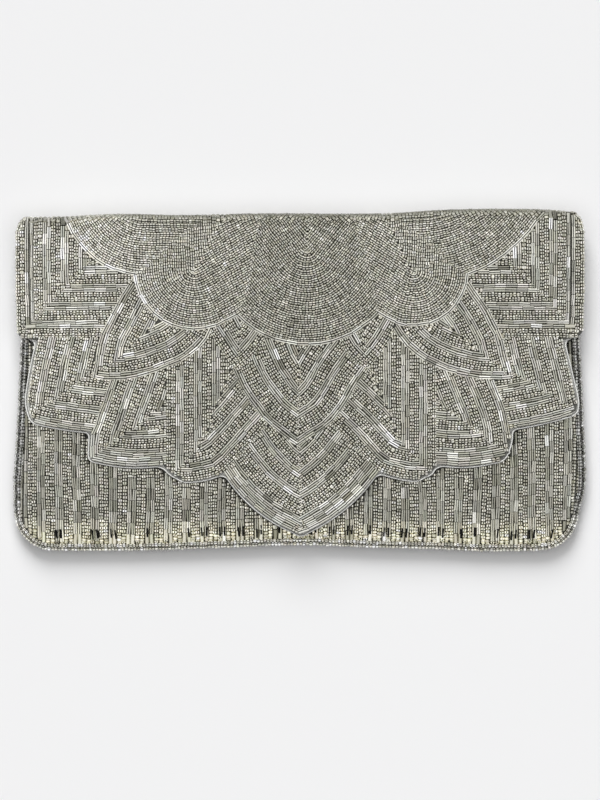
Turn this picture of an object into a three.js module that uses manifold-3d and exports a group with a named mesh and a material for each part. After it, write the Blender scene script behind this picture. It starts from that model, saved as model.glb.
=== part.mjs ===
// A flat envelope clutch, beaded all over, lying on its back: a pouch of a back and a front panel that meet in a
// beaded edge, and a flap that turns over the top and lies on the front with a scalloped petal edge.
// Millimetres. +X is the width, +Y runs from the bottom to the top fold, +Z is up, out of the front.
import * as THREE from "three";
import { mergeVertices } from "three/addons/utils/BufferGeometryUtils.js";
import Module from "manifold-3d";

// ---- driving dimensions --------------------------------------------------------------------------------------
const WALL = 2.8; // beaded cloth: about 0.9 of cloth and 1.9 of beads
const LINING = 0.9; // the flap's lining
const GAP = 0.3; // between pieces that touch
const SEAM_Z = 6.2; // height of the side and bottom seam above the resting face
const FRONT_Z = 12.0; // bead tops of the front panel, inside its rounded rim
const CROWN = 1.3; // how much fuller the front is in the middle
const RIM_SIDE = 8; // plan width of the rounded rim at the sides
const RIM_BOTTOM = 11; // and at the bottom
const CORNER = 19; // plan radius of the bottom corners
const MOUTH_Y = 60; // top edge of the front panel
const EDGE_R = 1.7; // radius of the beaded edge over the seam
const EDGE_IN = 2.4; // from the outline to the panels' own rim
const FLAP_OVER = 2.6; // how far the flap's sheet reaches past the pouch's sides before it is cut
const FLAP_LOW = 0.2; // share of the rim at which the flap stops following it down
const BACK_TURN = 3; // length of flap behind the fold, down to its seam with the back panel
const LIP = 0.8; // lining that shows past the flap's scallops
const WEB = 2.0; // and in the notches between them
const TUCK = 1.2; // lining held back from the flap's sides

// ---- outline tables ------------------------------------------------------------------------------------------
// Sides of the pouch: the outline's left and right at heights along it.
const SIDES = [
  { y: -84, left: -139.2, right: 135.9 },
  { y: -66, left: -139.8, right: 136.4 },
  { y: -52, left: -140.2, right: 139.6 },
  { y: -40, left: -139.7, right: 139.8 },
  { y: -20, left: -138.4, right: 138.8 },
  { y: 0, left: -137.5, right: 138.0 },
  { y: 20, left: -136.7, right: 137.0 },
  { y: 84, left: -136.4, right: 136.6 },
];
// Bottom edge: it is drawn up a little in the middle, where the pouch is dented.
const BOTTOM = [
  { x: -142, y: -82.8 },
  { x: -110, y: -83.1 },
  { x: -75, y: -82.9 },
  { x: -42, y: -81.8 },
  { x: 0, y: -80.4 },
  { x: 42, y: -81.8 },
  { x: 70, y: -82.4 },
  { x: 95, y: -83.4 },
  { x: 142, y: -82.4 },
];
// Top fold: it rises to the right and has a shallow dip on the left.
const TOP = [
  { x: -142, y: 80.1 },
  { x: -115, y: 80.5 },
  { x: -90, y: 81.7 },
  { x: -58, y: 81.1 },
  { x: -20, y: 81.9 },
  { x: 40, y: 81.9 },
  { x: 74, y: 83.8 },
  { x: 118, y: 83.9 },
  { x: 142, y: 82.1 },
];
// Outline of the flap laid over the front. Tips and notches of the petals, down the left side, along the scallops
// and up the right side. round: radius of the corner. bow: how far the edge to the next corner bows outwards.
// lining: how the lining ends there, tucked in along the sides, as a lip at the tips and as a web in the notches.
const FLAP_EDGE = [
  { at: "fold_left", x: -128, y: 89, round: 0, bow: 0, lining: "tuck" },
  { at: "shoulder_left", x: -134.4, y: 80.9, round: 3, bow: 0.7, lining: "tuck" },
  { at: "shoulder_left_low", x: -138.9, y: 74, round: 4, bow: 0.3, lining: "tuck" },
  { at: "block_left", x: -138.0, y: 21.0, round: 4, bow: 0, lining: "tuck" },
  { at: "notch_block_left", x: -127.8, y: 19.5, round: 1.2, bow: 0.3, lining: "web" },
  { at: "petal_4_left", x: -133.8, y: -10.4, round: 4, bow: 0, lining: "lip" },
  { at: "petal_4_left_low", x: -130.8, y: -20.2, round: 3, bow: 0.4, lining: "lip" },
  { at: "notch_43_left", x: -101.8, y: -24.7, round: 1, bow: 0, lining: "web" },
  { at: "petal_3_left", x: -102.6, y: -38.9, round: 3, bow: 1.4, lining: "lip" },
  { at: "notch_32_left", x: -67.4, y: -40.8, round: 1, bow: 0.4, lining: "web" },
  { at: "petal_2_left", x: -56.5, y: -49.6, round: 4, bow: 0.5, lining: "lip" },
  { at: "notch_2c_left", x: -37.2, y: -44.8, round: 1, bow: 3.1, lining: "web" },
  { at: "petal_centre", x: 0.4, y: -76.2, round: 4, bow: 2.7, lining: "lip" },
  { at: "notch_2c_right", x: 38.2, y: -44.2, round: 1, bow: 0.3, lining: "web" },
  { at: "petal_2_right", x: 57.4, y: -49.0, round: 4, bow: 0.8, lining: "lip" },
  { at: "notch_23_right", x: 67.2, y: -40.6, round: 1, bow: 1.2, lining: "web" },
  { at: "petal_3_right", x: 99.4, y: -39.2, round: 5, bow: 0.6, lining: "lip" },
  { at: "petal_3_right_up", x: 102.8, y: -30, round: 4, bow: 0, lining: "lip" },
  { at: "notch_34_right", x: 102.6, y: -23.2, round: 1, bow: 0.4, lining: "web" },
  { at: "petal_4_right", x: 134.6, y: -16.2, round: 4, bow: 0, lining: "lip" },
  { at: "petal_4_right_up", x: 135.6, y: -10.6, round: 4, bow: 0, lining: "lip" },
  { at: "notch_block_right", x: 128.0, y: 19.7, round: 1.2, bow: 0, lining: "web" },
  { at: "block_right", x: 138.2, y: 22.0, round: 4, bow: 0.3, lining: "tuck" },
  { at: "shoulder_right_low", x: 138.8, y: 75.5, round: 4, bow: 0.7, lining: "tuck" },
  { at: "shoulder_right", x: 134.6, y: 83.0, round: 3, bow: 0, lining: "tuck" },
  { at: "fold_right", x: 128, y: 89, round: 0, bow: 0, lining: "tuck" },
];

// ---- stations of the walls -----------------------------------------------------------------------------------
const RIM_STEPS = [EDGE_IN, 3, 4.1, 5.7, 7.8, RIM_SIDE + EDGE_IN]; // from the sides inwards
const ACROSS = 9; // columns between the two rims
const BOTTOM_STEPS = [EDGE_IN, 3.1, 4.6, 6.8, 9.6, RIM_BOTTOM + EDGE_IN]; // from the bottom inwards
const UP = 7; // rows from the bottom rim to the mouth
const FOLD_STEPS = 9; // steps round the top fold
const EDGE_STEPS = 88; // steps along the beaded edge
const EDGE_FACES = 8;

// ---- small helpers -------------------------------------------------------------------------------------------
const clamp = (v, a, b) => Math.min(b, Math.max(a, v));
const mix = (a, b, t) => a + (b - a) * t;

// Smooth curve through a table's rows: value of one column at a place along another.
function along(table, key, column, at) {
  const n = table.length;
  const t = clamp(at, table[0][key], table[n - 1][key]);
  let i = 0;
  while (i < n - 2 && t > table[i + 1][key]) i++;
  const slope = (k) => {
    const a = table[Math.max(0, k - 1)];
    const b = table[Math.min(n - 1, k + 1)];
    return (b[column] - a[column]) / (b[key] - a[key]);
  };
  const [p, q] = [table[i], table[i + 1]];
  const h = q[key] - p[key];
  const s = (t - p[key]) / h;
  return (
    (1 + 2 * s) * (1 - s) ** 2 * p[column] +
    s * (1 - s) ** 2 * h * slope(i) +
    s * s * (3 - 2 * s) * q[column] +
    s * s * (s - 1) * h * slope(i + 1)
  );
}
const left = (y) => along(SIDES, "y", "left", y);
const right = (y) => along(SIDES, "y", "right", y);
const bottom = (x) => along(BOTTOM, "x", "y", x);
const top = (x) => along(TOP, "x", "y", x);

// Distance in from the pouch's outline, and the width of the rounded rim there.
function inset(x, y) {
  const side = Math.min(x - left(y), right(y) - x);
  const low = y - bottom(x);
  if (side < CORNER && low < CORNER) {
    const [a, b] = [CORNER - side, CORNER - low];
    const reach = Math.hypot(a, b);
    return { d: CORNER - reach, rim: mix(RIM_SIDE, RIM_BOTTOM, (b / reach) ** 2) };
  }
  return side < low ? { d: side, rim: RIM_SIDE } : { d: low, rim: RIM_BOTTOM };
}
// Quarter round: 0 at the rim's foot, 1 where it meets the face.
const round = (u) => Math.sqrt(1 - (1 - clamp(u, 0, 1)) ** 2);
const face = (x, y) =>
  FRONT_Z + CROWN * Math.max(0, 1 - (x / 140) ** 2) * Math.max(0, 1 - ((y + 6) / 82) ** 2);

// Heights of the walls' surfaces over the plan.
function frontOut(x, y) {
  const { d, rim } = inset(x, y);
  return SEAM_Z + (face(x, y) - SEAM_Z) * round((d - EDGE_IN) / rim);
}
function frontIn(x, y) {
  const { d, rim } = inset(x, y);
  return SEAM_Z + (face(x, y) - WALL - SEAM_Z) * round((d - EDGE_IN - WALL) / (rim - WALL));
}
function backOut(x, y) {
  const { d, rim } = inset(x, y);
  return SEAM_Z * (1 - round((d - EDGE_IN) / rim));
}
function backIn(x, y) {
  const { d, rim } = inset(x, y);
  return SEAM_Z - (SEAM_Z - WALL) * round((d - EDGE_IN - WALL) / (rim - WALL));
}
// What the flap lies on: the front panel, without the steep foot of its rim.
function bed(x, y) {
  const { d, rim } = inset(x, y);
  return SEAM_Z + (face(x, y) - SEAM_Z) * round(Math.max((d - EDGE_IN) / rim, FLAP_LOW));
}
const liningIn = (x, y) => bed(x, y) + GAP;
const liningOut = (x, y) => liningIn(x, y) + LINING;
const flapIn = (x, y) => liningOut(x, y) + GAP;
const flapOut = (x, y) => flapIn(x, y) + WALL;
const foldRadius = (x) => flapOut(x, 72) / 2;
const foldY = (x) => top(x) - foldRadius(x);
// At its ends the fold's underside rises with the back panel's rim.
const foldLift = (x) => backOut(x, foldY(x) - BACK_TURN);

// ---- solids --------------------------------------------------------------------------------------------------
const wasm = await Module();
wasm.setup();

function solid(geometry) {
  const g = geometry.clone();
  for (const name of Object.keys(g.attributes)) if (name !== "position") g.deleteAttribute(name);
  const m = mergeVertices(g, 1e-4);
  return new wasm.Manifold(
    new wasm.Mesh({
      numProp: 3,
      vertProperties: new Float32Array(m.attributes.position.array),
      triVerts: new Uint32Array(m.index.array),
    }),
  );
}
function geometryOf(made) {
  const m = made.getMesh();
  const positions = new Float32Array(m.numVert * 3);
  for (let i = 0; i < m.numVert; i++)
    positions.set(m.vertProperties.subarray(i * m.numProp, i * m.numProp + 3), i * 3);
  const g = new THREE.BufferGeometry();
  g.setAttribute("position", new THREE.BufferAttribute(positions, 3));
  g.setIndex(new THREE.BufferAttribute(new Uint32Array(m.triVerts), 1));
  g.computeVertexNormals();
  return g;
}

// A closed wall from a grid of stations, each with an outer and an inner point.
function wall(rows) {
  const [nr, nc] = [rows.length, rows[0].length];
  const positions = [];
  for (const side of ["outer", "inner"])
    for (const row of rows) for (const station of row) positions.push(...station[side]);
  const at = (side, r, c) => side * nr * nc + r * nc + c;
  const index = [];
  const quad = (a, b, c, d) => index.push(a, b, c, a, c, d);
  for (let r = 0; r < nr - 1; r++)
    for (let c = 0; c < nc - 1; c++) {
      quad(at(0, r, c), at(0, r, c + 1), at(0, r + 1, c + 1), at(0, r + 1, c));
      quad(at(1, r, c), at(1, r + 1, c), at(1, r + 1, c + 1), at(1, r, c + 1));
    }
  for (let c = 0; c < nc - 1; c++) {
    quad(at(0, 0, c), at(1, 0, c), at(1, 0, c + 1), at(0, 0, c + 1));
    quad(at(0, nr - 1, c), at(0, nr - 1, c + 1), at(1, nr - 1, c + 1), at(1, nr - 1, c));
  }
  for (let r = 0; r < nr - 1; r++) {
    quad(at(0, r, 0), at(0, r + 1, 0), at(1, r + 1, 0), at(1, r, 0));
    quad(at(0, r, nc - 1), at(1, r, nc - 1), at(1, r + 1, nc - 1), at(0, r + 1, nc - 1));
  }
  const g = new THREE.BufferGeometry();
  g.setAttribute("position", new THREE.Float32BufferAttribute(positions, 3));
  g.setIndex(index);
  return g;
}
// An upright prism over a plan outline.
function prism(points, low, high) {
  const g = new THREE.ExtrudeGeometry(new THREE.Shape(points), { depth: high - low, bevelEnabled: false });
  return g.translate(0, 0, low);
}
function box(x0, x1, y0, y1, z0, z1) {
  return new THREE.BoxGeometry(x1 - x0, y1 - y0, z1 - z0).translate((x0 + x1) / 2, (y0 + y1) / 2, (z0 + z1) / 2);
}

// Plan stations that every wall shares, so that layers lie on each other without cutting in.
const columns = [
  (y) => left(y) - FLAP_OVER,
  ...RIM_STEPS.map((d) => (y) => left(y) + d),
  ...Array.from({ length: ACROSS }, (_, i) => (y) => {
    const d = RIM_SIDE + EDGE_IN;
    return mix(left(y) + d, right(y) - d, (i + 1) / (ACROSS + 1));
  }),
  ...RIM_STEPS.toReversed().map((d) => (y) => right(y) - d),
  (y) => right(y) + FLAP_OVER,
];
const bottomTop = RIM_BOTTOM + EDGE_IN;
const rowsUp = [
  ...BOTTOM_STEPS.map((d) => (x) => bottom(x) + d),
  ...Array.from({ length: UP }, (_, j) => (x) => mix(bottom(x) + bottomTop, MOUTH_Y, (j + 1) / UP)),
];
function plan(column, row) {
  let [x, y] = [column(0), 0];
  for (let k = 0; k < 4; k++) {
    y = row(x);
    x = column(y);
  }
  return [x, y];
}
const station = (x, y, out, inner) => ({ outer: [x, y, out], inner: [x, y, inner] });

// Outline of the pouch, a given distance in from its edge, walked from the left mouth round the bottom to the right.
function rimLine(d, topY, steps) {
  const points = [];
  const r = CORNER - d;
  const cornerAt = (side) => {
    const y = bottom(side * 121) + CORNER;
    return [side < 0 ? left(y - 2) + CORNER : right(y - 2) - CORNER, y];
  };
  const [cl, cr] = [cornerAt(-1), cornerAt(1)];
  const straight = Math.round(steps * 0.2);
  const turn = Math.round(steps * 0.14);
  const across = steps - 2 * straight - 2 * turn;
  for (let i = 0; i < straight; i++) {
    const y = mix(topY, cl[1], i / straight);
    points.push([left(y) + d, y]);
  }
  for (let i = 0; i <= turn; i++) {
    const a = Math.PI + (i / turn) * (Math.PI / 2);
    points.push([cl[0] + r * Math.cos(a), cl[1] + r * Math.sin(a)]);
  }
  for (let i = 1; i < across; i++) {
    const x = mix(cl[0], cr[0], i / across);
    points.push([x, bottom(x) + d]);
  }
  for (let i = 0; i <= turn; i++) {
    const a = 1.5 * Math.PI + (i / turn) * (Math.PI / 2);
    points.push([cr[0] + r * Math.cos(a), cr[1] + r * Math.sin(a)]);
  }
  for (let i = 1; i <= straight; i++) {
    const y = mix(cr[1], topY, i / straight);
    points.push([right(y) - d, y]);
  }
  return points.map(([x, y]) => new THREE.Vector2(x, y));
}

// Outline of the flap or of its lining, from the table of tips and notches, let out by a lip and by webs.
function flapLine(letOut) {
  const n = FLAP_EDGE.length;
  const grown = FLAP_EDGE.map((p, i) => {
    const before = FLAP_EDGE[(i + n - 1) % n];
    const after = FLAP_EDGE[(i + 1) % n];
    const a = new THREE.Vector2(p.x - before.x, p.y - before.y).normalize();
    const b = new THREE.Vector2(after.x - p.x, after.y - p.y).normalize();
    const out = new THREE.Vector2(a.y + b.y, -(a.x + b.x)).multiplyScalar(-1).normalize();
    const more = letOut[p.lining];
    const reach = p.lining === "web" ? more : more / Math.max(0.5, Math.sqrt((1 + a.dot(b)) / 2));
    return { ...p, v: new THREE.Vector2(p.x, p.y).addScaledVector(out, -reach), round: p.round + Math.max(0, more) };
  });
  const path = new THREE.Path();
  grown.forEach((p, i) => {
    const before = grown[(i + n - 1) % n];
    const after = grown[(i + 1) % n];
    const toBefore = before.v.clone().sub(p.v);
    const toAfter = after.v.clone().sub(p.v);
    const start = p.v.clone().addScaledVector(toBefore.clone().normalize(), Math.min(p.round, toBefore.length() * 0.45));
    const end = p.v.clone().addScaledVector(toAfter.clone().normalize(), Math.min(p.round, toAfter.length() * 0.45));
    if (i === 0) path.moveTo(start.x, start.y);
    else if (before.bow) {
      const from = path.currentPoint.clone();
      const normal = new THREE.Vector2(start.y - from.y, from.x - start.x).normalize();
      const c = from.clone().add(start).multiplyScalar(0.5).addScaledVector(normal, -2 * before.bow * -1);
      path.quadraticCurveTo(c.x, c.y, start.x, start.y);
    } else path.lineTo(start.x, start.y);
    if (p.round) path.quadraticCurveTo(p.v.x, p.v.y, end.x, end.y);
  });
  path.closePath();
  return path.getPoints(5);
}

// ---- the pieces ----------------------------------------------------------------------------------------------
const panelColumns = columns.slice(1, -1);
const rimPrism = solid(prism(rimLine(EDGE_IN + 0.05, 90, 60), -5, 30));

const frontRows = rowsUp.map((row) =>
  panelColumns.map((column) => {
    const [x, y] = plan(column, row);
    const low = Math.max(frontIn(x, y), SEAM_Z + GAP / 2);
    return station(x, y, Math.max(frontOut(x, y), low + 0.25), low);
  }),
);
const backTop = (x) => foldY(x) - BACK_TURN - GAP;
const backRows = [...rowsUp, (x) => backTop(x)].map((row) =>
  panelColumns.map((column) => {
    const [x, y] = plan(column, row);
    const high = Math.min(backIn(x, y), SEAM_Z - GAP / 2);
    return { outer: [x, y, high], inner: [x, y, Math.min(backOut(x, y), high - 0.25)] };
  }),
);
// Past the mouth the flap and its lining go on to the fold.
const flapUp = [...rowsUp.slice(1), (x) => foldY(x)];
const flapRows = flapUp.map((row) =>
  columns.map((column) => {
    const [x, y] = plan(column, row);
    const last = row === flapUp.at(-1);
    const high = last ? 2 * foldRadius(x) : flapOut(x, y);
    return station(x, y, high, last ? high - WALL : flapIn(x, y));
  }),
);
for (let k = 1; k <= FOLD_STEPS; k++) {
  const a = (k / FOLD_STEPS) * Math.PI;
  flapRows.push(
    flapRows[flapUp.length - 1].map(({ outer: [x, y] }) => {
      const r = foldRadius(x);
      const lift = (foldLift(x) * (1 - Math.cos(a))) / 2;
      const ring = (radius) => [x, y + radius * Math.sin(a), r + radius * Math.cos(a) + lift];
      return { outer: ring(r), inner: ring(r - WALL) };
    }),
  );
}
flapRows.push(
  flapRows[flapUp.length - 1].map(({ outer: [x, y] }) => ({
    outer: [x, y - BACK_TURN, foldLift(x)],
    inner: [x, y - BACK_TURN, foldLift(x) + WALL],
  })),
);
const liningRows = rowsUp.slice(1).map((row) =>
  columns.map((column) => {
    const [x, y] = plan(column, row);
    return station(x, y, liningOut(x, y), liningIn(x, y));
  }),
);

const edgeLine = rimLine(EDGE_R, MOUTH_Y, EDGE_STEPS).map((p) => new THREE.Vector3(p.x, p.y, SEAM_Z));
function edgeTube(radius, steps) {
  const ring = new THREE.Shape();
  for (let i = 0; i < EDGE_FACES; i++) {
    const a = ((i + 0.5) / EDGE_FACES) * 2 * Math.PI;
    const [x, y] = [radius * Math.cos(a), radius * Math.sin(a)];
    if (i) ring.lineTo(x, y);
    else ring.moveTo(x, y);
  }
  ring.closePath();
  const path = new THREE.CatmullRomCurve3(edgeLine);
  return new THREE.ExtrudeGeometry(ring, { steps, extrudePath: path, curveSegments: 1 });
}
const edgeRoom = solid(edgeTube(EDGE_R + GAP + 0.05, EDGE_STEPS));

const pieces = {
  back_panel: solid(wall(backRows)).intersect(rimPrism).subtract(edgeRoom),
  front_panel: solid(wall(frontRows)).intersect(rimPrism).subtract(edgeRoom),
  flap: solid(wall(flapRows)).intersect(solid(prism(flapLine({ tuck: 0, lip: 0, web: 0 }), -5, 30))),
  flap_lining: solid(wall(liningRows)).intersect(solid(prism(flapLine({ tuck: -TUCK, lip: LIP, web: WEB }), -5, 30))),
  edge_beading: solid(edgeTube(EDGE_R, EDGE_STEPS)),
};

// ---- materials -----------------------------------------------------------------------------------------------
const beaded = (color) => new THREE.MeshStandardMaterial({ color, roughness: 0.35, metalness: 0.4 });
const materials = {
  back_panel: beaded(0x97958b),
  front_panel: beaded(0x97958b),
  flap: beaded(0x9b998f),
  flap_lining: new THREE.MeshStandardMaterial({ color: 0xc4c3bc, roughness: 0.55, metalness: 0 }),
  edge_beading: beaded(0x8b8b87),
};

const clutch = new THREE.Group();
for (const [name, made] of Object.entries(pieces)) {
  const mesh = new THREE.Mesh(geometryOf(made), materials[name]);
  mesh.name = name;
  clutch.add(mesh);
}

export default clutch;
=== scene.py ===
import math

import bpy
import numpy as np
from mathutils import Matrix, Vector
from mathutils.geometry import delaunay_2d_cdt


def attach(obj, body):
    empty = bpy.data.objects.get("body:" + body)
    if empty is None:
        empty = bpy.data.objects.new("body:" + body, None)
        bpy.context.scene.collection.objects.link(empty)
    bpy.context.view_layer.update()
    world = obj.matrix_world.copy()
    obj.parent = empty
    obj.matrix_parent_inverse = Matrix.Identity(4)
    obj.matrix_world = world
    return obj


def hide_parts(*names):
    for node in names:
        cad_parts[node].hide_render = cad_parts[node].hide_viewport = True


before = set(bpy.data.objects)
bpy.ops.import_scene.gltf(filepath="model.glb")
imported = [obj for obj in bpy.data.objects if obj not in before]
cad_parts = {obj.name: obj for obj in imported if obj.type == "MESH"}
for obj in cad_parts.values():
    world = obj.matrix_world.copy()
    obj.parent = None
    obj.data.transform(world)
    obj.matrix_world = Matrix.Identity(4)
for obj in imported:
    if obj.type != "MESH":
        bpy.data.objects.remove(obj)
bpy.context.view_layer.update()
rng = np.random.default_rng(20)
MM = 0.001

# ---- sizes shared with the solids ------------------------------------------------------------------------------
WALL, LINING, GAP = 2.8, 0.9, 0.3
SEAM_Z, FRONT_Z, CROWN = 6.2, 12.0, 1.3
RIM_SIDE, RIM_BOTTOM, CORNER = 8.0, 11.0, 19.0
MOUTH_Y, EDGE_TOP, EDGE_R, EDGE_IN = 60.0, 68.0, 1.7, 2.4
FLAP_LOW, BACK_TURN = 0.2, 3.0
LIP, WEB, TUCK = 0.8, 2.0, 1.2

# columns: y, left, right
SIDES = np.array([
    [-84, -139.2, 135.9], [-66, -139.8, 136.4], [-52, -140.2, 139.6], [-40, -139.7, 139.8],
    [-20, -138.4, 138.8], [0, -137.5, 138.0], [20, -136.7, 137.0], [84, -136.4, 136.6],
])
# columns: x, y
BOTTOM = np.array([
    [-142, -82.8], [-110, -83.1], [-75, -82.9], [-42, -81.8], [0, -80.4],
    [42, -81.8], [70, -82.4], [95, -83.4], [142, -82.4],
])
TOP = np.array([
    [-142, 80.1], [-115, 80.5], [-90, 81.7], [-58, 81.1], [-20, 81.9],
    [40, 81.9], [74, 83.8], [118, 83.9], [142, 82.1],
])
# columns: corner, x, y, round, bow, how the lining ends there
FLAP_EDGE = [
    ("fold_left", -128, 89, 0, 0, "tuck"),
    ("shoulder_left", -134.4, 80.9, 3, 0.7, "tuck"),
    ("shoulder_left_low", -138.9, 74, 4, 0.3, "tuck"),
    ("block_left", -138.0, 21.0, 4, 0, "tuck"),
    ("notch_block_left", -127.8, 19.5, 1.2, 0.3, "web"),
    ("petal_4_left", -133.8, -10.4, 4, 0, "lip"),
    ("petal_4_left_low", -130.8, -20.2, 3, 0.4, "lip"),
    ("notch_43_left", -101.8, -24.7, 1, 0, "web"),
    ("petal_3_left", -102.6, -38.9, 3, 1.4, "lip"),
    ("notch_32_left", -67.4, -40.8, 1, 0.4, "web"),
    ("petal_2_left", -56.5, -49.6, 4, 0.5, "lip"),
    ("notch_2c_left", -37.2, -44.8, 1, 3.1, "web"),
    ("petal_centre", 0.4, -76.2, 4, 2.7, "lip"),
    ("notch_2c_right", 38.2, -44.2, 1, 0.3, "web"),
    ("petal_2_right", 57.4, -49.0, 4, 0.8, "lip"),
    ("notch_23_right", 67.2, -40.6, 1, 1.2, "web"),
    ("petal_3_right", 99.4, -39.2, 5, 0.6, "lip"),
    ("petal_3_right_up", 102.8, -30, 4, 0, "lip"),
    ("notch_34_right", 102.6, -23.2, 1, 0.4, "web"),
    ("petal_4_right", 134.6, -16.2, 4, 0, "lip"),
    ("petal_4_right_up", 135.6, -10.6, 4, 0, "lip"),
    ("notch_block_right", 128.0, 19.7, 1.2, 0, "web"),
    ("block_right", 138.2, 22.0, 4, 0.3, "tuck"),
    ("shoulder_right_low", 138.8, 75.5, 4, 0.7, "tuck"),
    ("shoulder_right", 134.6, 83.0, 3, 0, "tuck"),
    ("fold_right", 128, 89, 0, 0, "tuck"),
]

# ---- the beads -------------------------------------------------------------------------------------------------
SEED_R, SEED_PITCH = 1.10, 1.55
BUGLE_R, BUGLE_PITCH = 1.0, 5.5
BEAD_DEPTH = 1.9  # the beads' share of the wall: the cloth lies this far under their tops
ROW_STEP = {"BB": 2.15, "BS": 2.2, "SS": 2.25, "SB": 2.2}  # between rows of bugles and of seeds
FIRST_ROW = {"B": 0.75, "S": 0.8}  # from an outline to the first row
FAN_STEP = 2.2
STRIPE_AT, STRIPE_STEP = -126.8, 8.89  # middle of a bugle pair on the panels, and the repeat
FOLD_END = 90.0  # where the flap's pattern ends behind the fold, along the cloth

# ---- the flap's pattern: curves over the plan -------------------------------------------------------------------
CURVES = {
    "centre_left": [(-18.6, 81.5), (-20, 75.6), (-22.5, 65.8), (-23.9, 53.6), (-26.9, 39.9), (-30.3, 31.6)],
    "centre_right": [(25.4, 81.5), (28.8, 69.2), (31.3, 62.9), (34.2, 52.1), (36.7, 43.3), (37.9, 32.4)],
    "upper_left": [(-115.8, 81.5), (-114.8, 75.1), (-110, 68.8), (-106.5, 64.4), (-101.2, 60.5), (-96.8, 57.5), (-91.4, 54.1), (-87.5, 51.9), (-81.6, 50.9)],
    "upper_left_in": [(-81.6, 51.2), (-75.7, 55.1), (-69.4, 60.5), (-62.6, 67.8), (-53.3, 73.6), (-46.9, 79.5)],
    "upper_right": [(118.3, 81.5), (116.8, 77.6), (113.9, 74.1), (110, 70.2), (106, 66.3), (102.1, 62.9), (97.7, 59.2), (92.9, 56.1), (88, 53.6), (82.6, 50.9)],
    "upper_right_in": [(82.6, 51.2), (76.7, 55.1), (69.9, 60.5), (63.5, 67.3), (54.7, 73.6), (46.9, 80.5)],
    "leaf_left_side": [(-81.6, 50.7), (-86.5, 43.8), (-89.9, 37), (-95.3, 26.7), (-97.3, 22.8), (-98.7, 17.4), (-100.7, 3.3), (-101.2, 1.3)],
    "leaf_left_low": [(-101.2, 1.3), (-94.8, 0.3), (-88, 0.3), (-80.6, 1.3), (-72.8, 3.3), (-67.4, 5.2), (-61.6, 7.7), (-57.2, 9.6), (-50.8, 14.5), (-47.4, 17.4), (-45, 20.9), (-42.5, 25.8)],
    "leaf_right_low": [(45.9, 24.8), (48.4, 20.6), (51.8, 16.5), (56.2, 12.6), (61.1, 9.4), (66.5, 6.7), (71.8, 4.6), (80.1, 2.3), (87, 1.1), (95.3, 0.7), (103.6, 1.2)],
    "leaf_right_side": [(104.1, 1.3), (102.1, 8.6), (100.2, 15), (98.7, 22.3), (95.8, 27.7), (93.8, 31.6), (91.4, 36.5), (87, 42.4), (82.6, 49.2)],
    "bud_left_a": [(-44.5, 24.4), (-42.4, 20.7), (-39.4, 16), (-36.2, 11.3), (-32.3, 6.2)],
    "bud_left_b": [(-30.8, 5.7), (-25.9, 9.6), (-23, 12.3), (-20.5, 15.2), (-17.4, 19.4)],
    "bud_right_a": [(19.9, 19.1), (22.3, 14.8), (25.3, 11.1), (28.7, 8), (32.7, 5.2)],
    "bud_right_b": [(33, 5.5), (36.7, 10.1), (40.1, 14.3), (43.6, 19.1), (45.6, 22.8)],
    "heart_left": [(-32.7, 5.2), (-28.8, -3.6), (-23.5, -11.4), (-20.5, -15.8), (-16.1, -20.7), (-9.8, -25.6), (-1.5, -31.9)],
    "heart_right": [(-0.5, -31.4), (5.4, -27.5), (10.8, -24.1), (15.6, -20.7), (19.5, -15.8), (23.5, -9.9), (25.9, -5), (28.8, -0.6), (33.2, 5.2)],
    "petal_2_left_up": [(-34.2, -41.2), (-29.3, -36.1), (-23.5, -29.5), (-16.1, -21.2)],
    "petal_2_right_up": [(15.6, -21.2), (24.4, -29.5), (30.3, -36.1), (35.7, -41.7)],
    "petal_3_left_up": [(-92.9, -0.1), (-95.1, -6.5), (-97.7, -14.3), (-99.9, -21.6)],
    "petal_3_right_up": [(102.1, -21.6), (100.4, -14.8), (98, -8), (94.8, -0.1)],
    "block_left_low": [(-140, 21.0), (-127, 21.2), (-97, 21.4)],
    "block_right_low": [(97, 21.4), (127, 21.3), (140, 21.3)],
    "petal_2_left_side": [(-65, 20), (-65, -40)],
    "petal_2_right_side": [(66.5, -40), (66.5, 20)],
}
# Fields of the pattern, from the lowest to the one that lies over the others: curves and points round each.
FIELDS = {
    "block_left": [(-142, 104), (-142, 17), (-127.8, 19.3), (-96, 21.3), (-80, 52), (-75, 60), (-75, 104)],
    "block_right": [(142, 104), (142, 17), (128, 19.5), (97, 21.3), (80, 52), (75, 60), (75, 104)],
    "petal_4_left": [(-126.5, 21.1), (-142, 0), (-142, -26), (-101, -30), (-88, 0), (-97, 21.1)],
    "petal_4_right": [(126.5, 21.1), (142, 0), (142, -26), (101, -30), (90, 0), (97, 21.1)],
    "petal_3_left": ["petal_3_left_up", (-102.2, -25), (-108, -46), (-65, -48), (-65, 8)],
    "petal_3_right": [(66.5, 8), (66.5, -48), (108, -46), (103.4, -25), "petal_3_right_up"],
    "petal_centre": [(-16.1, -21.2), (-35.8, -43.2), (-42, -52), (0, -84), (44, -50), (38.6, -44.3), (15.6, -21.2), (0, -18)],
    "petal_2_left": [(-65, 20), (-65, -42), (-68, -57), (-40, -54), (-36.2, -43.4), "petal_2_left_up", (-10, -10), (-30, 26), (-43, 26)],
    "petal_2_right": [(46, 26), (30, 26), (10, -10), "petal_2_right_up", (37.9, -43.9), (42, -52), (69, -57), (66.5, -42), (66.5, 20)],
    "heart": ["heart_left", "heart_right", (33, 8), (17, 30), (-15, 30), (-31, 8)],
    "bud_left": ["bud_left_a", "bud_left_b", (-18.6, 24.8), (-30.3, 36.5), (-43, 30.6)],
    "bud_right": ["bud_right_a", "bud_right_b", (47.4, 30.6), (39.1, 36.5), (22, 27.2)],
    "leaf_left": ["leaf_left_side", "leaf_left_low", (-48.9, 39.4), (-78.2, 53.1)],
    "leaf_right": ["leaf_right_low", "leaf_right_side", (79.2, 53.1), (48.9, 39.4)],
}
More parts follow.
